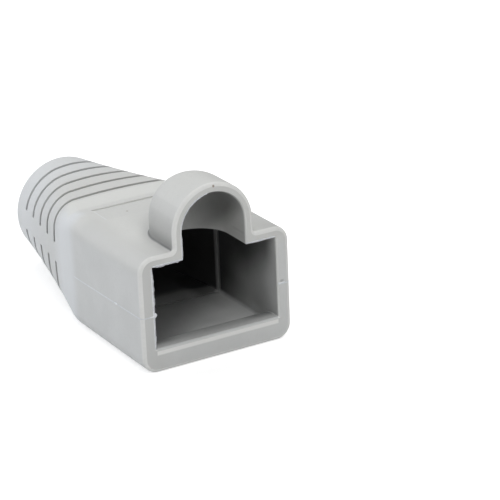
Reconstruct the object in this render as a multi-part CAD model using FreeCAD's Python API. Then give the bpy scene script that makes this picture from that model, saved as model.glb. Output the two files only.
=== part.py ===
import FreeCAD, Part
import math
import os

# Strain relief boot for an eight-contact modular plug, moulded in one piece of
# soft vinyl.  The mouth that takes the plug faces -Y, the cable leaves through
# the round end at +Y, and the latch hood stands on top, at +Z.  The origin is
# on the flat underside, at the middle of the boot's box.  Millimetres.

# What the boot is made to fit.
plug_width = 11.68
plug_height = 8.2
plug_clearance = 0.06
cable_diameter = 6.0
cable_clearance = 0.05

# Walls of the body.
side_wall = 1.22
top_wall = 0.85
floor_wall = 1.05
body_corner_radius = 1.35
cavity_corner_radius = 0.25
mouth_edge_radius = 0.35
mouth_inner_chamfer = 0.12

# Lengths along the boot, from the mouth to the cable end.
cavity_depth = 10.2
plug_stop = 0.1
funnel_length = 13.2
bore_length = 6.0
shoulder_start = 12.2
shoulder_length = 2.0

# The tail, which turns from a soft rectangle into a round end.
tail_end_wall = 1.65
tail_axis_height = 4.94
tail_top_drop = 0.2
tail_crown_angle = 10.0
tail_crown_power = 0.7
tail_taper_power = 1.07
collar_length = 0.6
collar_flare = 0.08
tail_chamfer = 0.4
shoulder_section_count = 4
tail_section_count = 6
loft_degree = 2

# Flexing grooves round the tail, with a bridge left along each side.
groove_count = 5
first_groove_from_mouth = 17.5
groove_pitch = 2.22
groove_width = 0.45
groove_depth = 0.7
bridge_height = 1.82
bridge_centre_height = 5.37

# The hood that shields the plug's latch.
hood_inner_radius = 3.0
hood_wall = 0.8
hood_back_wall = 1.0
hood_centre_height = 11.57
hood_straight_length = 3.06
hood_root_radius = 0.3

# The lip on the mouth's floor, which snaps behind the plug's body.
lip_height = 1.07
lip_land = 1.0
lip_ramp = 2.1

# A shallow plain panel sunk into the top, behind the hood.
panel_width = 9.4
panel_start = 10.1
panel_length = 3.3
panel_depth = 0.12

# Sizes that follow from the ones above.
total_length = cavity_depth + funnel_length + bore_length
mouth_y = -total_length / 2
end_y = total_length / 2
cavity_half_width = plug_width / 2 + plug_clearance
cavity_floor = floor_wall
cavity_ceiling = cavity_floor + plug_height + 2 * plug_clearance
body_half_width = cavity_half_width + side_wall
body_top = cavity_ceiling + top_wall
bore_radius = cable_diameter / 2 + cable_clearance
end_radius = bore_radius + tail_end_wall
collar_radius = end_radius + collar_flare
collar_y = end_y - tail_chamfer - collar_length
shoulder_y = mouth_y + shoulder_start
shoulder_end_y = shoulder_y + shoulder_length
overrun = 1.0
flatness = 0.001


def line(start, end):
    return Part.LineSegment(start, end).toShape()


def arc(start, middle, end):
    """A circular arc through three points, or a line where they are in a row."""
    if (middle - start).cross(end - start).Length < flatness ** 2:
        return line(start, end)
    return Part.Arc(start, middle, end).toShape()


def crowned_section(y, half_width, bottom, top, corner_radius, crown_angle=0.0):
    """A closed outline of four crowned sides and four corner arcs, all tangent.

    The crown angle, in degrees, is half of what each side turns through: 0 is flat.
    """
    turn = math.radians(crown_angle)
    bulge = math.tan(turn / 2)
    corner = corner_radius * (math.cos(turn) - math.sin(turn))
    half_height = (top - bottom) / 2
    middle_z = (top + bottom) / 2

    side_z = (half_height - half_width * bulge - corner * (1 - bulge)) / (1 - bulge ** 2)
    side_x = half_width - side_z * bulge
    top_x = side_x - corner
    top_z = side_z + corner
    diagonal = corner_radius * math.sqrt(0.5)
    corner_x = side_x - corner_radius * math.cos(turn) + diagonal
    corner_z = top_z - corner_radius * math.cos(turn) + diagonal

    def point(x, z):
        return FreeCAD.Vector(x, y, middle_z + z)

    return Part.Wire([
        arc(point(-top_x, top_z), point(0, half_height), point(top_x, top_z)),
        arc(point(top_x, top_z), point(corner_x, corner_z), point(side_x, side_z)),
        arc(point(side_x, side_z), point(half_width, 0), point(side_x, -side_z)),
        arc(point(side_x, -side_z), point(corner_x, -corner_z), point(top_x, -top_z)),
        arc(point(top_x, -top_z), point(0, -half_height), point(-top_x, -top_z)),
        arc(point(-top_x, -top_z), point(-corner_x, -corner_z), point(-side_x, -side_z)),
        arc(point(-side_x, -side_z), point(-half_width, 0), point(-side_x, side_z)),
        arc(point(-side_x, side_z), point(-corner_x, corner_z), point(-top_x, top_z)),
    ])


def mix(a, b, share):
    return a + (b - a) * share


def tail_section(y, inset=0.0):
    """The tail's outline at y, or the same outline moved inwards by inset.

    The sides bend inwards through the shoulder, evenly, and then taper almost
    straight to the collar, while the corners and the crown grow to its circle.
    """
    turn_y = shoulder_y + shoulder_length / 2
    taper_length = collar_y - turn_y
    along = max(0.0, (y - turn_y) / taper_length)
    ease = min(1.0, (y - shoulder_y) / shoulder_length)
    if ease < 1:
        taper = tail_taper_power * ease ** 2 * shoulder_length / 2 / taper_length
    else:
        taper = 1 - (1 - along) ** tail_taper_power
    tail_top = body_top - tail_top_drop * ease ** 2 * (3 - 2 * ease)
    half_width = mix(body_half_width, collar_radius, taper) - inset
    bottom = mix(0, tail_axis_height - collar_radius, taper) + inset
    top = mix(tail_top, tail_axis_height + collar_radius, taper) - inset
    corner = mix(body_corner_radius, collar_radius, along) - inset
    crown = tail_crown_angle * along ** tail_crown_power
    return crowned_section(y, half_width, bottom, top, corner, crown)


def loft(sections, is_ruled=False):
    return Part.makeLoft(sections, True, is_ruled, False, loft_degree)


def spread(start, end, count):
    """count values, evenly spaced from start to end."""
    return [mix(start, end, index / (count - 1)) for index in range(count)]


def outer_body():
    """The straight front of the boot, with a flat underside and flat sides."""
    outline = crowned_section(mouth_y, body_half_width, 0, body_top, body_corner_radius)
    return Part.Face(outline).extrude(FreeCAD.Vector(0, shoulder_start, 0))


def outer_tail():
    """The taper behind the shoulder, lofted down to the round collar."""
    shoulder_stations = spread(shoulder_y, shoulder_end_y, shoulder_section_count)
    tail_stations = spread(shoulder_end_y, collar_y, tail_section_count)[1:]
    taper = loft([tail_section(y) for y in shoulder_stations + tail_stations])
    return taper.fuse(tail_end())


def tail_end():
    """The round end of the tail: a short collar with its edge taken off."""
    profile = [(collar_radius, collar_y), (end_radius, end_y - tail_chamfer)]
    profile += [(end_radius - tail_chamfer, end_y), (0, end_y), (0, collar_y)]
    points = [FreeCAD.Vector(x, y, tail_axis_height) for x, y in profile]
    face = Part.Face(Part.makePolygon(points + points[:1]))
    return face.revolve(FreeCAD.Vector(0, 0, tail_axis_height), FreeCAD.Vector(0, 1, 0), 360)


def arch_solid(radius, base_z, straight_length):
    """An arch over the Y axis, run straight back from the mouth to a domed end."""
    back_y = mouth_y + straight_length
    slant = radius * math.sqrt(0.5)
    spring_z = hood_centre_height

    foot = FreeCAD.Vector(radius, mouth_y, base_z)
    spring = FreeCAD.Vector(radius, mouth_y, spring_z)
    crown = FreeCAD.Vector(0, mouth_y, spring_z + radius)
    far_spring = FreeCAD.Vector(-radius, mouth_y, spring_z)
    far_foot = FreeCAD.Vector(-radius, mouth_y, base_z)
    arch = Part.Wire([
        line(foot, spring), arc(spring, crown, far_spring),
        line(far_spring, far_foot), line(far_foot, foot),
    ])
    straight = Part.Face(arch).extrude(FreeCAD.Vector(0, straight_length, 0))

    foot = FreeCAD.Vector(radius, back_y, base_z)
    spring = FreeCAD.Vector(radius, back_y, spring_z)
    haunch = FreeCAD.Vector(slant, back_y, spring_z + slant)
    crown = FreeCAD.Vector(0, back_y, spring_z + radius)
    middle = FreeCAD.Vector(0, back_y, base_z)
    half_arch = Part.Wire([
        line(foot, spring), arc(spring, haunch, crown),
        line(crown, middle), line(middle, foot),
    ])
    domed = Part.Face(half_arch).revolve(middle, FreeCAD.Vector(0, 0, 1), 180)
    return straight.fuse(domed).removeSplitter()


def hood_outer():
    radius = hood_inner_radius + hood_wall
    straight_length = hood_straight_length + hood_back_wall - hood_wall
    return arch_solid(radius, cavity_ceiling, straight_length)


def hood_pocket():
    """The latch's room, open to the mouth and down into the plug's cavity."""
    return arch_solid(hood_inner_radius, cavity_ceiling - top_wall, hood_straight_length)


def mouth_face(solid):
    """The flat face round the mouth."""
    for face in solid.Faces:
        box = face.BoundBox
        if abs(box.YMin - mouth_y) < flatness and abs(box.YMax - mouth_y) < flatness:
            return face
    return None


def hood_root_edges(solid):
    """The edges where the hood meets the body's top, apart from the mouth's plane."""
    reach = hood_inner_radius + hood_wall + flatness
    found = []
    for edge in solid.Edges:
        box = edge.BoundBox
        is_on_top = box.ZMin > cavity_ceiling + flatness and box.ZMax < body_top + flatness
        is_at_hood = max(-box.XMin, box.XMax) < reach and box.YMax < shoulder_y - flatness
        if is_on_top and is_at_hood and box.YMax - box.YMin > flatness:
            found.append(edge)
    return found


def round_outer_edges(solid):
    solid = solid.makeFillet(hood_root_radius, hood_root_edges(solid))
    return solid.makeFillet(mouth_edge_radius, mouth_face(solid).OuterWire.Edges)


def ease_mouth_inside(solid):
    """Takes the sharp edge off the inside of the mouth, the hood and the lip."""
    face = mouth_face(solid)
    outer = face.OuterWire
    inside = [edge for wire in face.Wires if not wire.isSame(outer) for edge in wire.Edges]
    return solid.makeChamfer(mouth_inner_chamfer, inside)


def rectangle(y, half_width, bottom, top):
    corners = [(-half_width, bottom), (half_width, bottom), (half_width, top), (-half_width, top)]
    points = [FreeCAD.Vector(x, y, z) for x, z in corners]
    return Part.makePolygon(points + points[:1])


def plug_cavity():
    """Room for the plug, then the square funnel that narrows to the cable's bore."""
    outline = crowned_section(
        mouth_y - overrun, cavity_half_width, cavity_floor, cavity_ceiling, cavity_corner_radius)
    room = Part.Face(outline).extrude(FreeCAD.Vector(0, cavity_depth + overrun, 0))
    wide = rectangle(
        mouth_y + cavity_depth, cavity_half_width - plug_stop,
        cavity_floor + plug_stop, cavity_ceiling - plug_stop)
    narrow = rectangle(
        end_y - bore_length, bore_radius,
        tail_axis_height - bore_radius, tail_axis_height + bore_radius)
    bore_start = FreeCAD.Vector(0, end_y - bore_length, tail_axis_height)
    bore = Part.makeCylinder(
        bore_radius, bore_length + overrun, bore_start, FreeCAD.Vector(0, 1, 0))
    return room.fuse([loft([wide, narrow], is_ruled=True), bore])


def mouth_lip():
    """The low ridge across the mouth's floor, rounded down towards the cavity."""
    crest = cavity_floor + lip_height
    sunk = cavity_floor - floor_wall / 2
    half = cavity_half_width + side_wall / 2
    back_y = mouth_y + lip_land + lip_ramp
    back_radius = (lip_ramp ** 2 + lip_height ** 2) / (2 * lip_height)
    turn = math.asin(lip_ramp / back_radius) / 2
    middle_y = mouth_y + lip_land + back_radius * math.sin(turn)
    middle_z = crest - back_radius * (1 - math.cos(turn))

    def point(y, z):
        return FreeCAD.Vector(-half, y, z)

    land_y = mouth_y + lip_land
    profile = Part.Wire([
        line(point(mouth_y, sunk), point(mouth_y, crest)),
        line(point(mouth_y, crest), point(land_y, crest)),
        arc(point(land_y, crest), point(middle_y, middle_z), point(back_y, cavity_floor)),
        line(point(back_y, cavity_floor), point(back_y, sunk)),
        line(point(back_y, sunk), point(mouth_y, sunk)),
    ])
    return Part.Face(profile).extrude(FreeCAD.Vector(2 * half, 0, 0))


def tail_grooves():
    """Slots of even depth over the top and under the belly, clear of the bridges."""
    reach = body_half_width + overrun
    upper_z = bridge_centre_height + bridge_height / 2
    lower_z = bridge_centre_height - bridge_height / 2
    slots = []
    for index in range(groove_count):
        middle_y = mouth_y + first_groove_from_mouth + index * groove_pitch
        start_y = middle_y - groove_width / 2
        root = Part.Face(tail_section(middle_y, groove_depth))
        root.translate(FreeCAD.Vector(0, -groove_width, 0))
        root = root.extrude(FreeCAD.Vector(0, 2 * groove_width, 0))
        above = Part.makeBox(
            2 * reach, groove_width, body_top + overrun - upper_z,
            FreeCAD.Vector(-reach, start_y, upper_z))
        below = Part.makeBox(
            2 * reach, groove_width, lower_z + overrun,
            FreeCAD.Vector(-reach, start_y, -overrun))
        slots += [above.cut(root), below.cut(root)]
    return slots


def top_panel(solid):
    """What is taken off the top so that the panel lies evenly below the surface."""
    start = FreeCAD.Vector(-panel_width / 2, mouth_y + panel_start, body_top - overrun)
    block = Part.makeBox(panel_width, panel_length, 2 * overrun, start)
    lowered = solid.translated(FreeCAD.Vector(0, 0, -panel_depth))
    return block.cut(lowered)


def boot():
    solid = outer_body().fuse([outer_tail(), hood_outer()]).removeSplitter()
    solid = round_outer_edges(solid)
    solid = solid.cut([top_panel(solid)] + tail_grooves())
    solid = solid.cut([plug_cavity(), hood_pocket()])
    solid = solid.fuse(mouth_lip()).removeSplitter()
    return ease_mouth_inside(solid)


os.makedirs("parts", exist_ok=True)
shape = boot()
shape.exportStep("parts/strain_relief_boot.step")
print("solids", len(shape.Solids), "valid", shape.isValid(), "volume", round(shape.Volume, 1))
print("box", shape.optimalBoundingBox(False))
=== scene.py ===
"""Dresses the moulded strain relief boot: soft vinyl, mould seams and flash, and a pale studio.

Sizes are in millimetres and angles in degrees. MM turns sizes into the frame's metres where a mesh,
a lamp or the camera is made. In the boot's frame x runs to its right, y from its mouth to its tail
and z up. A depth is measured from the mouth, along y.
"""

import math

import bmesh
import bpy
from mathutils import Matrix, Vector, noise
from mathutils.bvhtree import BVHTree


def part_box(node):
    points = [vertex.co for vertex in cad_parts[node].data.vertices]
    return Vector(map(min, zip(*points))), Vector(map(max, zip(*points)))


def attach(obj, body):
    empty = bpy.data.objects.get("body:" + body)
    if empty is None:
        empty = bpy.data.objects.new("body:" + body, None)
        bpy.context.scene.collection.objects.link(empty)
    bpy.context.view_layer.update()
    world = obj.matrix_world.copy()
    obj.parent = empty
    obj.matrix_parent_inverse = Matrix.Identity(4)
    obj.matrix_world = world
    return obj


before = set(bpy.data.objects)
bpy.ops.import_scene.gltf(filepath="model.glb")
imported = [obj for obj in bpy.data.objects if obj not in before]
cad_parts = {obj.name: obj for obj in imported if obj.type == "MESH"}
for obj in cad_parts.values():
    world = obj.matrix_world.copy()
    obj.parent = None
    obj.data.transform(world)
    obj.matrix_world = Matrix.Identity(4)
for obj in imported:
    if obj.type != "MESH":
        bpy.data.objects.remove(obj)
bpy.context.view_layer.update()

NODE = "strain_relief_boot"
MM = 0.001

# The boot's outside: its box as the frame gives it, the body's top and the rounding of the mouth.
low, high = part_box(NODE)
mouth = low.y / MM
boot_length = (high.y - low.y) / MM
half_width = high.x / MM
top_face = 10.22
mouth_edge_radius = 0.35

# The plug's room, the lip across its mouth with the pale line on the lip's front, and the funnel
# and the bore behind it.
room_half_width = 5.9
room_floor = 1.05
room_top = 9.37
room_depth = 10.2
room_edge_chamfer = 0.12
lip_top = 2.12
lip_length = 3.1
lip_line_height = 1.74
funnel_side_slope = 0.208
funnel_top_slope = 0.085
bore_depth = 23.4
bore_radius = 3.05
bore_height = 4.94

# The latch's pocket over the room, and the hood round it: straight sides, then a round back.
pocket_radius = 3.0
pocket_centre_height = 11.57
pocket_side_length = 3.06
hood_radius = 3.8
hood_side_length = 3.26

# The shallow panel in the top, from front to back.
panel_half_width = 4.7
panel_front = 10.1
panel_back = 13.4

# The grooves in the tail, the bridge that crosses them on each side, and the shade inside them.
first_groove = 17.5
groove_count = 5
groove_pitch = 2.22
groove_half_width = 0.23
bridge_centre_height = 5.37
bridge_half_height = 0.91
groove_shade_offset = 0.06

# Where the mould's halves meet: a low ridge along each side that drops a little towards the tail.
seam_height_at_mouth = 5.07
seam_drop = 0.24
seam_drop_length = 12.0
seam_width = 0.14
seam_unevenness = 0.5
wall_seam_lift = 0.022
side_seam_lift = 0.030
tail_seam_lift = 0.016
tail_seam_start = 12.7
seam_end_margin = 0.6
seam_wall_rows = 6
seam_bend_steps = 6
seam_side_rows = 99

# The ridge's section: places across it and up from the skin, as shares of its width and height.
seam_section = [(-0.5, -0.3), (0.0, 1.0), (0.5, -0.3)]

# The thin flash along the mouth's inner edge: a ragged fin that tapers out at both ends.
flash_grain = 1.6
flash_fine_grain = 3.1
flash_fine_share = 0.6
flash_mean = 0.65
flash_swing = 0.75
flash_lowest = 0.5
flash_lean = 0.3
flash_taper_rows = 30
flash_end_rows = 4
straight_edge_points = 140
hood_edge_points = 100

# The studio. The floor's glow grows to white between two distances from the boot.
floor_gap = 0.02
floor_reach = 3000
floor_seen = 0.62
floor_glow = 0.63
floor_bounce = 0.85
floor_white_start = 60
floor_white_end = 200
air_glow = 0.06
camera_focal_length = 157.86
camera_distance = 184.1
camera_azimuth = 29.849
camera_elevation = 21.290
camera_roll = -2.365
camera_aim = Vector((4.186, -13.22, 8.115))
lamp_distance = 400
lamp_size = 300

# Each lamp's name, azimuth, elevation, power and tint.
lamps = [
    ("front", -8, 50, 1.02, (1.0, 1.0, 1.0)),
    ("left", -138, 25, 1.02, (0.97, 0.99, 1.03)),
    ("right", 130, 50, 0.68, (1.0, 1.0, 1.0)),
]

# The vinyl's colours: as moulded; dull, also used for painted shade; a painted warm tint of light;
# painted light on top, painted highlight, painted light and deep painted shade; then specks, seams and
# flash.
vinyl_grey = (0.596, 0.606, 0.600, 1.0)
vinyl_pale = (0.630, 0.640, 0.634, 1.0)
vinyl_dull_and_shade = (0.562, 0.566, 0.552, 1.0)
vinyl_warm_light = (0.612, 0.614, 0.590, 1.0)
vinyl_lit_top = (0.686, 0.692, 0.668, 1.0)
vinyl_highlight = (0.800, 0.804, 0.786, 1.0)
vinyl_lit = (0.682, 0.700, 0.712, 1.0)
vinyl_shade = (0.024, 0.024, 0.025, 1.0)
speck_brown = (0.16, 0.085, 0.04, 1.0)
speck_dark_and_shade = (0.07, 0.07, 0.072, 1.0)
seam_pale = (0.70, 0.72, 0.74, 1.0)
seam_cool = (0.62, 0.65, 0.68, 1.0)
flash_pale = (0.86, 0.88, 0.90, 1.0)
flash_cool = (0.75, 0.775, 0.81, 1.0)

# Small marks in the vinyl: where, the radius, the tint and how much of it.
specks = [
    ((0.15, -14.66, 15.1), 0.14, speck_brown, 0.7),
    ((-2.2, -3.42, 10.1), 0.14, speck_brown, 0.45),
    ((2.13, -0.85, 10.2), 0.13, speck_dark_and_shade, 0.8),
    ((5.9, -13.7, 9.1), 0.20, speck_dark_and_shade, 0.4),
    # These two paint the shade in a small hollow above the right seam on the mouth's face.
    ((6.25, -14.7, 5.33), 0.15, speck_dark_and_shade, 0.3),
    ((6.40, -14.7, 5.34), 0.13, speck_dark_and_shade, 0.25),
]

# Drops of vinyl where the seams meet the mouth, and a nick in the left seam: where, and how far
# each reaches along x, y and z.
drops = [
    ("nib_left", (-5.84, -14.66, 5.14), (0.17, 0.10, 0.22)),
    ("nib_left_foot", (-6.12, -14.70, 5.07), (0.26, 0.040, 0.055)),
    ("nib_right", (6.03, -14.69, 5.13), (0.10, 0.06, 0.10)),
    ("nib_right_foot", (6.32, -14.70, 5.15), (0.30, 0.040, 0.05)),
    ("nick_left", (-7.12, -10.19, 5.0), (0.08, 0.28, 0.085)),
]
drop_unevenness = 0.18
drop_grain = 1.7


class Field:
    """A number that varies over a surface: a socket that Python's operators add nodes to."""

    def __init__(self, surface, socket):
        self.surface = surface
        self.socket = socket

    def __add__(self, other):
        return self.surface.maths("ADD", self, other)

    def __sub__(self, other):
        return self.surface.maths("SUBTRACT", self, other)

    def __mul__(self, other):
        return self.surface.maths("MULTIPLY", self, other)

    def __truediv__(self, other):
        return self.surface.maths("DIVIDE", self, other)

    def __radd__(self, other):
        return self.surface.maths("ADD", other, self)

    def __rsub__(self, other):
        return self.surface.maths("SUBTRACT", other, self)

    def __rmul__(self, other):
        return self.surface.maths("MULTIPLY", other, self)

    def __abs__(self):
        return self.surface.maths("ABSOLUTE", self)


class Surface:
    """A material or the air being made: a node tree with its own output."""

    def __init__(self, owner, output="ShaderNodeOutputMaterial"):
        owner.use_nodes = True
        self.owner = owner
        self.output = output
        self.tree = owner.node_tree
        self.tree.nodes.clear()

    def node(self, kind, settings=None, inputs=None, output=0):
        """Adds a node: its settings first, then the values or links of its sockets."""
        made = self.tree.nodes.new(kind)
        for name, value in (settings or {}).items():
            setattr(made, name, value)
        for name, value in (inputs or {}).items():
            if isinstance(value, Field):
                self.tree.links.new(value.socket, made.inputs[name])
            else:
                made.inputs[name].default_value = value
        return Field(self, made.outputs[output]) if made.outputs else None

    def maths(self, operation, *values):
        return self.node("ShaderNodeMath", {"operation": operation}, dict(enumerate(values)))

    def vector(self, operation, inputs, output="Vector"):
        return self.node("ShaderNodeVectorMath", {"operation": operation}, inputs, output)

    def place(self):
        """Where a point is in the boot's frame, as a vector field."""
        here = self.node("ShaderNodeTexCoord", output="Object")
        return self.vector("SCALE", {0: here, "Scale": 1 / MM})

    def parts(self, vector):
        """The x, y and z of a vector field."""
        return [self.node("ShaderNodeSeparateXYZ", inputs={0: vector}, output=k) for k in range(3)]

    def length(self, x, y, z):
        """The length of the vector with these parts."""
        vector = self.node("ShaderNodeCombineXYZ", inputs={0: x, 1: y, 2: z})
        return self.vector("LENGTH", {0: vector}, "Value")

    def noise(self, vector, grain, detail=2.0, roughness=0.5):
        """Noise from 0 to 1, with so many grains to the millimetre."""
        return self.node("ShaderNodeTexNoise", inputs={
            "Vector": vector, "Scale": grain, "Detail": detail, "Roughness": roughness})

    def step(self, value, start, end):
        """0 up to start, 1 from end on and smooth between; it falls where start is the larger."""
        low_end, high_end = (0.0, 1.0) if start < end else (1.0, 0.0)
        return self.node("ShaderNodeMapRange", {"interpolation_type": "SMOOTHSTEP"}, {
            "Value": value, "From Min": min(start, end), "From Max": max(start, end),
            "To Min": low_end, "To Max": high_end})

    def band(self, value, start, end, fade):
        """1 between start and end and 0 outside; it fades inside both."""
        return self.step(value, start, start + fade) * self.step(value, end, end - fade)

    def near(self, vector, point, radius):
        """1 at a point in the boot's frame, and 0 further off than the radius."""
        distance = self.vector("DISTANCE", {0: vector, 1: point}, "Value")
        return self.step(distance, radius, radius / 2)

    def between(self, factor, first, second):
        """A number from first, where the factor is 0, to second, where it is 1."""
        return self.node("ShaderNodeMix", inputs={0: factor, 2: first, 3: second})

    def mixed(self, factor, first, second):
        """The same for two colours."""
        return self.node(
            "ShaderNodeMix", {"data_type": "RGBA"}, {0: factor, 6: first, 7: second}, output=2)

    def bump(self, height, strength, distance, normal=None):
        inputs = {"Height": height, "Strength": strength, "Distance": distance * MM}
        if normal:
            inputs["Normal"] = normal
        return self.node("ShaderNodeBump", inputs=inputs)

    def finish(self, shader):
        self.node(self.output, inputs={"Surface": shader})
        return self.owner


def grey(level):
    return (level, level, level, 1.0)


# The vinyl's colour is worked out from where a point is. Amounts of a tint or a shade run from 0
# to 1, and the two places in a step are where a fade starts and ends.


def room_mask(s, x, depth, z):
    """1 on the skin of the plug's room, the funnel and the bore, and 0 on the outside."""
    past_room = s.maths("MAXIMUM", depth - room_depth, 0.0)
    off_side = abs(x) - (room_half_width - funnel_side_slope * past_room)
    middle = (room_floor + room_top) / 2
    off_top = abs(z - middle) - (room_top - middle - funnel_top_slope * past_room)
    in_funnel = s.step(s.maths("MAXIMUM", off_side, off_top), 0.5, 0.06)
    in_funnel *= s.step(z, room_top + 0.09, room_top + 0.01)
    in_bore = s.step(s.length(x, 0.0, z - bore_height), bore_radius + 0.5, bore_radius + 0.1)
    in_bore *= s.step(depth, boot_length - 0.04, boot_length - 0.2)
    return s.between(s.step(depth, bore_depth - 0.2, bore_depth + 0.2), in_funnel, in_bore)


def pocket_mask(s, x, depth, z):
    """1 on the skin of the latch's pocket, and 0 on the outside."""
    behind = s.maths("MAXIMUM", depth - pocket_side_length, 0.0)
    above = s.maths("MAXIMUM", z - pocket_centre_height, 0.0)
    in_pocket = s.step(s.length(x, behind, above), pocket_radius + 0.45, pocket_radius + 0.1)
    return in_pocket * s.step(z, room_top - 0.01, room_top + 0.03)


def wall_shade(s, depth, z):
    """How dark the room's walls are: darkest high up and far in, and light low at the mouth."""
    low_wall = 0.32 * s.step(depth, 0.1, 3.2) + 0.65 * s.step(depth, 4.2, 9.5)
    low_wall *= 1 - 0.2 * s.step(z, 3.5, 1.5) * s.step(depth, 10.1, 8.2)
    high_wall = 0.78 * s.step(depth, -0.2, 2.1) + 0.19 * s.step(depth, 2.1, 6.7)
    slant = z + 0.45 * (s.maths("MINIMUM", depth, 4.9) - 3.1)
    wall = s.between(s.step(slant, 4.2, 7.8), low_wall, high_wall)
    return s.maths("MAXIMUM", wall, s.step(depth, 8.2, 9.9))


def floor_shade(s, x, depth):
    """How dark the room's floor is: it darkens towards the back and the left."""
    floor = 0.10 + 0.66 * s.step(depth - 1.16 * x, -1.8, 8.7)
    floor += 0.13 * s.step(depth, 6.2, 4.7) * s.step(x, 0.0, 3.0)
    floor *= 1 - 0.5 * s.step(x, 4.2, 5.6) * s.step(depth, 10.3, 9.7)
    floor = s.maths("MAXIMUM", floor, s.step(depth, 9.2, 12.8))
    floor += 0.24 * s.step(x, 3.0, 4.6) * s.step(depth, 9.5, 10.5)
    floor += 0.15 * s.step(abs(x), room_half_width - 0.25, room_half_width - 0.05)
    floor += 0.11 * s.step(abs(depth - room_depth), 0.1, 0.03)
    return floor


def lip_shade(s, x, depth):
    """How dark the lip's top and its ramp are: darker towards the back and the corners."""
    lip = 0.10 + 0.34 * s.step(depth, 0.0, 1.1)
    lip += 0.28 * s.step(abs(x), 2.6, 4.8) * s.step(depth, 0.5, 1.4)
    return lip


def shade_inside(s, x, depth, z):
    """How dark a point is inside the boot: 0 on the outside, 1 deep in the room."""
    on_floor = s.step(z, room_floor + 0.4, room_floor + 0.1)
    on_lip = s.step(z, lip_top - 0.62, lip_top - 0.32) * s.step(z, lip_top + 0.28, lip_top + 0.08)
    on_lip *= s.step(depth, lip_length - 0.2, lip_length - 1.0)
    on_lip *= s.step(abs(x), room_half_width - 0.03, room_half_width - 0.15)
    room = s.between(on_floor, wall_shade(s, depth, z), floor_shade(s, x, depth))
    room = s.between(on_lip, room, lip_shade(s, x, depth))
    # The walls' upright edge where the room ends catches light, and so does the bore from behind.
    stop_edge = s.step(abs(depth - room_depth), 0.40, 0.12) * s.step(abs(x), 5.3, 5.6)
    room *= (1 - 0.46 * stop_edge) * (1 - 0.45 * s.step(depth, 20.7, 27.7))

    far_and_high = s.step(z + 0.8 * depth, 11.99, 14.39)
    pocket = (0.14 + 0.52 * far_and_high) * (0.62 + 0.38 * s.step(x, 0.5, 2.8))
    shade = s.maths(
        "MAXIMUM", room_mask(s, x, depth, z) * room, pocket_mask(s, x, depth, z) * pocket)
    return shade * s.step(depth, 0.0, 0.1)


def shade_hood_foot(s, x, depth, z):
    """The soft shade where the hood and the top meet, strongest in the crease, and to their right."""
    behind = s.maths("MAXIMUM", depth - hood_side_length, 0.0)
    off_hood = s.length(x, behind, 0.0) - hood_radius
    on_skin = s.step(off_hood, -0.3, -0.2)
    rise = z - top_face
    crease = s.step(off_hood, 0.16, 0.02) * on_skin * s.step(rise, 0.28, 0.08)
    on_wall = s.step(off_hood, 0.2, 0.1) * on_skin * s.step(rise, 3.98, 0.38)
    on_bend = s.step(off_hood, 0.16, 0.1) * s.step(off_hood, -0.8, -0.7) * s.step(rise, 5.18, 1.78)
    on_top = s.step(off_hood, 0.9, 0.25) * s.step(rise, 0.18, 0.08) * s.step(depth, 2.7, 1.7)
    right_of_hood = s.step(x, 4.0, 5.2) * s.step(depth, 9.7, 6.7)
    shade = 0.30 * crease + (0.14 + 0.24 * s.step(rise, 1.58, 0.18)) * on_wall
    shade += 0.11 * on_bend + 0.11 * on_top + 0.10 * right_of_hood
    return shade * s.step(depth, 0.2, 0.4) * s.step(rise, -0.12, -0.02)


def shade_grooves(s, depth, z):
    """1 inside the tail's grooves, and 0 on the skin between them and on the bridges."""
    along = (depth - first_groove) / groove_pitch
    off_groove = (along - s.maths("ROUND", along)) * groove_pitch
    in_groove = s.step(
        abs(off_groove - groove_shade_offset), groove_half_width + 0.08, groove_half_width - 0.13)
    off_bridge = s.step(
        abs(z - bridge_centre_height), bridge_half_height - 0.02, bridge_half_height + 0.03)
    last_groove = first_groove + groove_pitch * (groove_count - 1)
    return in_groove * off_bridge * s.band(depth, first_groove - 0.8, last_groove + 0.8, 0.2)


def clouded(s, here, mottle, x, depth, z):
    """The vinyl's colour: faint clouds, a painted warm tint of light on top, and painted shade on the
    top's front corners.
    """
    clouds = s.noise(here, 0.32, 3.0)
    colour = s.mixed(s.step(clouds, 0.35, 0.7) * 0.7, vinyl_grey, vinyl_pale)
    colour = s.mixed(s.step(z, 8.4, 9.7) * 0.7, colour, vinyl_warm_light)
    colour = s.mixed(s.step(mottle, 0.50, 0.72) * 0.32, colour, vinyl_dull_and_shade)
    brow = s.step(abs(x), 4.2, 6.0) * s.step(z, 9.3, 9.9) * s.step(depth, 11.7, 10.2)
    return s.mixed(brow * 0.8, colour, vinyl_dull_and_shade)


def with_panel_shade(s, colour, x, depth, z):
    """Painted shade on the panel's floor, and painted highlights on its side edges."""
    at_panel = s.band(depth, panel_front, panel_back, 0.1)
    at_panel *= s.step(z, top_face - 0.32, top_face - 0.22)
    on_panel = s.step(abs(x), panel_half_width, panel_half_width - 0.1) * at_panel
    colour = s.mixed(on_panel * 0.3, colour, vinyl_dull_and_shade)
    on_edge = s.step(abs(abs(x) - panel_half_width - 0.04), 0.09, 0.03) * at_panel
    return s.mixed(on_edge * 0.6, colour, vinyl_lit)


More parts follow.
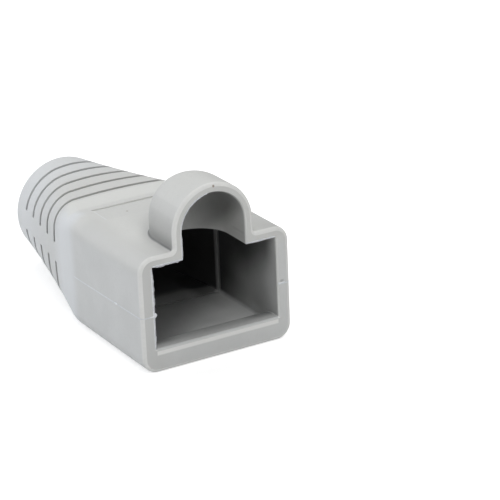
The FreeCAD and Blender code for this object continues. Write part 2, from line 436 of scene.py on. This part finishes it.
def with_rim_highlights(s, colour, mottle, x, depth, z):
    """Painted highlights on the mouth's rounded edges and the lip's front edge, and painted shade on the
    face's left.
    """
    by_lip = s.step(abs(x), room_half_width - 0.02, room_half_width - 0.1)
    by_lip *= s.band(z, room_floor + 0.15, lip_top + 0.23, 0.1)
    rim_highlight = s.step(depth, 0.40, 0.18) * s.step(depth, 0.0002, 0.007) * (1 - by_lip)
    rim_highlight *= (0.55 + 0.6 * mottle) * (1 - 0.3 * s.step(x, 0.0, 5.0))
    colour = s.mixed(rim_highlight, colour, vinyl_highlight)
    on_face = s.step(depth, 0.01, 0.001)
    colour = s.mixed(on_face * s.step(x, -4.0, -6.0) * 0.6, colour, vinyl_dull_and_shade)
    lip_edge = on_face * by_lip * s.step(abs(z - lip_line_height), 0.26, 0.10)
    return s.mixed(lip_edge, colour, vinyl_highlight)


def with_lit_tail(s, colour, x, depth, z):
    """Painted light: the shoulder's sides and the tail turn paler, and the top there is lighter and
    warmer.
    """
    shoulder = s.step(depth, 11.6, 13.1) * s.step(depth, 18.2, 15.2) * s.step(abs(x), 5.0, 6.2)
    lit_tail = s.maths("MAXIMUM", shoulder * 0.9, s.step(depth, 19.7, 26.7) * 0.6)
    colour = s.mixed(lit_tail, colour, vinyl_lit)
    lit_top = s.step(depth, 14.0, 14.8) * s.step(depth, 17.2, 16.6) * s.step(z, 9.3, 9.7)
    return s.mixed(lit_top * 0.8, colour, vinyl_lit_top)


def soft_vinyl():
    """Matte grey vinyl with the faint clouds, dust and skin of a moulded part."""
    s = Surface(bpy.data.materials.new("soft_vinyl"))
    here = s.place()
    x, y, z = s.parts(here)
    depth = y - mouth
    mottle = s.noise(here, 3.5, 3.0, 0.6)
    dust = s.noise(here, 11.0, 1.0)
    streaks = s.noise(s.vector("MULTIPLY", {0: here, 1: (3.2, 3.2, 0.55)}), 1.3, 3.0, 0.65)
    in_hood = s.step(z, 9.6, 10.4) * s.step(abs(x), 3.2, 2.9) * s.step(depth, 0.7, 1.7)

    colour = clouded(s, here, mottle, x, depth, z)
    colour = s.mixed(in_hood * s.step(streaks, 0.5, 0.72) * 0.30, colour, vinyl_dull_and_shade)
    colour = with_panel_shade(s, colour, x, depth, z)
    colour = with_rim_highlights(s, colour, mottle, x, depth, z)
    colour = with_lit_tail(s, colour, x, depth, z)
    for point, radius, tint, amount in specks:
        colour = s.mixed(s.near(here, point, radius) * amount, colour, tint)
    colour = s.mixed(shade_hood_foot(s, x, depth, z), colour, vinyl_shade)
    colour = s.mixed(shade_inside(s, x, depth, z) * 0.97, colour, vinyl_shade)
    colour = s.mixed(shade_grooves(s, depth, z) * 0.37, colour, vinyl_shade)

    roughness = 0.50 + 0.12 * mottle + 0.06 * dust
    skin = s.bump(s.noise(here, 5.0, 3.0, 0.6), 0.16, 0.05)
    swell = s.bump(s.noise(here, 0.45, 1.0), 0.35, 0.25, skin)
    scuffed = s.bump(in_hood * streaks, 0.5, 0.06, swell)
    return s.finish(s.node("ShaderNodeBsdfPrincipled", inputs={
        "Base Color": colour, "Roughness": roughness, "Normal": scuffed,
        "IOR": 1.5, "Specular IOR Level": 0.4,
        "Subsurface Weight": 0.08, "Subsurface Radius": (1.0, 1.0, 0.95),
        "Subsurface Scale": 0.6 * MM}))


def thin_vinyl(name, pale, cool):
    """The same vinyl where it squeezed out of the mould thin: paler, partly as thin vinyl looks and
    partly painted highlight.
    """
    s = Surface(bpy.data.materials.new(name))
    colour = s.mixed(s.step(s.noise(s.place(), 4.0, 2.0), 0.35, 0.65), pale, cool)
    return s.finish(s.node("ShaderNodeBsdfPrincipled", inputs={
        "Base Color": colour, "Roughness": 0.45, "Specular IOR Level": 0.4}))


def studio_floor():
    """A pale floor that the camera sees as white, with the boot's shadow kept."""
    s = Surface(bpy.data.materials.new("studio_floor"))
    is_camera = s.node("ShaderNodeLightPath", output="Is Camera Ray")
    away = s.vector("LENGTH", {0: s.place()}, "Value")
    white = s.mixed(s.step(away, floor_white_start, floor_white_end), grey(floor_glow), grey(1.0))
    paper = s.node("ShaderNodeBsdfDiffuse", inputs={"Color": grey(floor_seen)})
    bounce = s.node("ShaderNodeBsdfDiffuse", inputs={"Color": grey(floor_bounce)})
    glow = s.node("ShaderNodeEmission", inputs={"Color": white, "Strength": 1.0})
    seen = s.node("ShaderNodeAddShader", inputs={0: paper, 1: glow})
    return s.finish(s.node("ShaderNodeMixShader", inputs={0: is_camera, 1: bounce, 2: seen}))


def studio_air():
    """Air that the camera sees as white and that adds a little light from all round."""
    s = Surface(bpy.data.worlds.new("studio_air"), "ShaderNodeOutputWorld")
    is_camera = s.node("ShaderNodeLightPath", output="Is Camera Ray")
    soft = s.node("ShaderNodeBackground", inputs={"Color": grey(1.0), "Strength": air_glow})
    white = s.node("ShaderNodeBackground", inputs={"Color": grey(1.0), "Strength": 1.0})
    return s.finish(s.node("ShaderNodeMixShader", inputs={0: is_camera, 1: soft, 2: white}))


def dress(name, mesh, material):
    """A piece of the boot that rides on its one body."""
    piece = bpy.data.objects.new(name, mesh)
    bpy.context.scene.collection.objects.link(piece)
    mesh.materials.append(material)
    mesh.shade_smooth()
    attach(piece, "root")


def strip(name, rows, is_turned, material):
    """A long narrow piece over rows of points, three to a row."""
    points = [point * MM for row in rows for point in row]
    faces = []
    for row_start in range(0, len(points) - 3, 3):
        for corner in (row_start, row_start + 1):
            quad = (corner, corner + 1, corner + 4, corner + 3)
            faces.append(quad[::-1] if is_turned else quad)
    mesh = bpy.data.meshes.new(name)
    mesh.from_pydata(points, [], faces)
    dress(name, mesh, material)


def drop(name, centre, size, material):
    """A small uneven drop of vinyl. Drops whose names differ in length are uneven in other places."""
    shaper = bmesh.new()
    bmesh.ops.create_icosphere(shaper, subdivisions=3, radius=1.0)
    other_place = Vector((len(name), 0, 0))
    for vertex in shaper.verts:
        swell = 1 + drop_unevenness * noise.noise(vertex.co * drop_grain + other_place)
        vertex.co = Vector(c + s * v * swell for c, s, v in zip(centre, size, vertex.co)) * MM
    mesh = bpy.data.meshes.new(name)
    shaper.to_mesh(mesh)
    shaper.free()
    dress(name, mesh, material)


def seam_height(y):
    along = min(1.0, (y - mouth) / seam_drop_length)
    return seam_height_at_mouth - seam_drop * along


def seam_rays(side):
    """Rays at the boot along one seam, each with the ridge's height there.

    They go over the end of the mouth's wall, round its edge and down the side.
    """
    rays = []
    height = seam_height(mouth)
    wall_start = room_half_width + room_edge_chamfer
    wall_end = half_width - mouth_edge_radius
    for index in range(seam_wall_rows):
        x = wall_start + (wall_end - wall_start) * index / seam_wall_rows
        rays.append((Vector((side * x, 2 * mouth, height)), Vector((0, 1, 0)), wall_seam_lift))
    side_start = mouth + mouth_edge_radius
    bend_centre = Vector((side * wall_end, side_start, height))
    for index in range(seam_bend_steps + 1):
        turn = math.radians(90 * index / seam_bend_steps)
        inwards = Vector((-side * math.sin(turn), math.cos(turn), 0))
        rays.append((bend_centre - inwards * half_width, inwards, wall_seam_lift))
    side_end = mouth + boot_length - seam_end_margin
    for index in range(1, seam_side_rows + 1):
        y = side_start + (side_end - side_start) * index / seam_side_rows
        lift = side_seam_lift if y < mouth + tail_seam_start else tail_seam_lift
        wave = 1 + seam_unevenness * noise.noise(Vector((side, y, 0)))
        origin = Vector((side * 2 * half_width, y, seam_height(y)))
        rays.append((origin, Vector((-side, 0, 0)), lift * wave))
    return rays


def ridge(name, rays, is_turned, tree, material):
    """The low ridge that the mould's joint leaves where the rays meet the boot."""
    rows = []
    for origin, inwards, lift in rays:
        row = []
        for across, rise in seam_section:
            start = origin + Vector((0, 0, across * seam_width))
            spot = tree.ray_cast(start * MM, inwards)[0] / MM
            row.append(spot - inwards * rise * lift)
        rows.append(row)
    strip(name, rows, is_turned, material)


def mould_seams(tree, seam, vinyl):
    """A pale ridge along each side of the body, and a fainter one along the tail."""
    for name, side in (("left", -1), ("right", 1)):
        rays = seam_rays(side)
        on_body = [ray for ray in rays if ray[0].y < mouth + tail_seam_start]
        on_tail = rays[len(on_body) - 1:]
        ridge("seam_" + name, on_body, side > 0, tree, seam)
        ridge("tail_seam_" + name, on_tail, side > 0, tree, vinyl)


def straight_edge(start, end, inwards):
    """Points along a straight edge of the mouth, each with the way into the opening."""
    last = straight_edge_points - 1
    return [(start.lerp(end, index / last), inwards) for index in range(straight_edge_points)]


def hood_edge(first_angle, last_angle):
    """The same along the round inner edge of the hood; the angle is 0 at its right."""
    edge = []
    centre = Vector((0, mouth, pocket_centre_height))
    for index in range(hood_edge_points):
        share = index / (hood_edge_points - 1)
        angle = math.radians(first_angle + (last_angle - first_angle) * share)
        outwards = Vector((math.cos(angle), 0, math.sin(angle)))
        edge.append((centre + outwards * pocket_radius, -outwards))
    return edge


def flash_fin(name, edge, tallest, material):
    """A ragged fin along the mouth's inner edge."""
    rows = []
    for index, (root, inwards) in enumerate(edge):
        rows_to_end = min(index, len(edge) - 1 - index)
        taper = min(1.0, (rows_to_end + flash_end_rows) / flash_taper_rows)
        grain = root * flash_grain
        ragged = noise.noise(grain) + flash_fine_share * noise.noise(grain * flash_fine_grain)
        height = tallest * taper * max(flash_lowest, flash_mean + flash_swing * ragged)
        front = root - inwards * room_edge_chamfer
        back = root + Vector((0, room_edge_chamfer, 0))
        tip = root + inwards * height + Vector((0, flash_lean * room_edge_chamfer, 0))
        rows.append((front, tip, back))
    strip(name, rows, False, material)


def mouth_flash(material):
    """The fins from the lip up the left wall, over to the hood and up its left half, and right of it."""
    left_foot = Vector((-room_half_width, mouth, lip_top))
    left_top = Vector((-room_half_width, mouth, room_top))
    hood_left = Vector((-pocket_radius, mouth, room_top))
    arch_left = Vector((-pocket_radius, mouth, pocket_centre_height))
    hood_right = Vector((pocket_radius, mouth, room_top))
    right_top = Vector((room_half_width, mouth, room_top))
    rightwards = Vector((1, 0, 0))
    downwards = Vector((0, 0, -1))
    fins = [
        ("flash_side", straight_edge(left_foot, left_top, rightwards), 0.12),
        ("flash_left", straight_edge(left_top, hood_left, downwards), 0.15),
        ("flash_hood", straight_edge(hood_left, arch_left, rightwards), 0.10),
        ("flash_arch", hood_edge(180, 98), 0.055),
        ("flash_right", straight_edge(hood_right, right_top, downwards), 0.05),
    ]
    for name, edge, tallest in fins:
        flash_fin(name, edge, tallest, material)


def boot():
    vinyl = soft_vinyl()
    flash = thin_vinyl("thin_flash", flash_pale, flash_cool)
    seam = thin_vinyl("mould_seam", seam_pale, seam_cool)
    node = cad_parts[NODE]
    node.data.materials.clear()
    node.data.materials.append(vinyl)
    tree = BVHTree.FromObject(node, bpy.context.evaluated_depsgraph_get())
    mould_seams(tree, seam, vinyl)
    mouth_flash(flash)
    for name, centre, size in drops:
        drop(name, centre, size, flash)


def lamp(name, azimuth, elevation, power, tint):
    """A soft square lamp that looks at the boot; azimuth 0 is in front of the mouth."""
    turn = math.radians(azimuth)
    rise = math.radians(elevation)
    away = Vector((
        math.sin(turn) * math.cos(rise), -math.cos(turn) * math.cos(rise), math.sin(rise)))
    panel = bpy.data.lights.new(name, "AREA")
    panel.shape = "SQUARE"
    panel.size = lamp_size * MM
    panel.energy = power
    panel.color = tint
    holder = bpy.data.objects.new(name, panel)
    holder.location = (low + high) / 2 + away * lamp_distance * MM
    holder.rotation_mode = "QUATERNION"
    holder.rotation_quaternion = away.to_track_quat("Z", "Y")
    bpy.context.scene.collection.objects.link(holder)


def studio():
    reach = floor_reach * MM
    corners = [(-reach, -reach, 0), (reach, -reach, 0), (reach, reach, 0), (-reach, reach, 0)]
    mesh = bpy.data.meshes.new("floor")
    mesh.from_pydata(corners, [], [(0, 1, 2, 3)])
    mesh.materials.append(studio_floor())
    floor = bpy.data.objects.new("floor", mesh)
    floor.location.z = low.z - floor_gap * MM
    bpy.context.scene.collection.objects.link(floor)
    for name, azimuth, elevation, power, tint in lamps:
        lamp(name, azimuth, elevation, power, tint)
    bpy.context.scene.world = studio_air()


def camera():
    """A long lens from the front left, a little above the boot."""
    turn = math.radians(camera_azimuth)
    rise = math.radians(camera_elevation)
    roll = math.radians(camera_roll)
    forward = Vector((
        math.sin(turn) * math.cos(rise), math.cos(turn) * math.cos(rise), -math.sin(rise)))
    level = Vector((math.cos(turn), -math.sin(turn), 0))
    right = level * math.cos(roll) + level.cross(forward) * math.sin(roll)
    up = right.cross(forward)

    lens = bpy.data.cameras.new("camera")
    lens.lens = camera_focal_length
    lens.sensor_width = 36.0
    lens.clip_start = 0.01
    lens.clip_end = 10.0
    holder = bpy.data.objects.new("camera", lens)
    holder.location = (camera_aim - forward * camera_distance) * MM
    holder.rotation_mode = "QUATERNION"
    holder.rotation_quaternion = Matrix((right, up, -forward)).transposed().to_quaternion()
    bpy.context.scene.collection.objects.link(holder)
    bpy.context.scene.camera = holder


bpy.context.scene.view_settings.view_transform = "Standard"
boot()
studio()
camera()
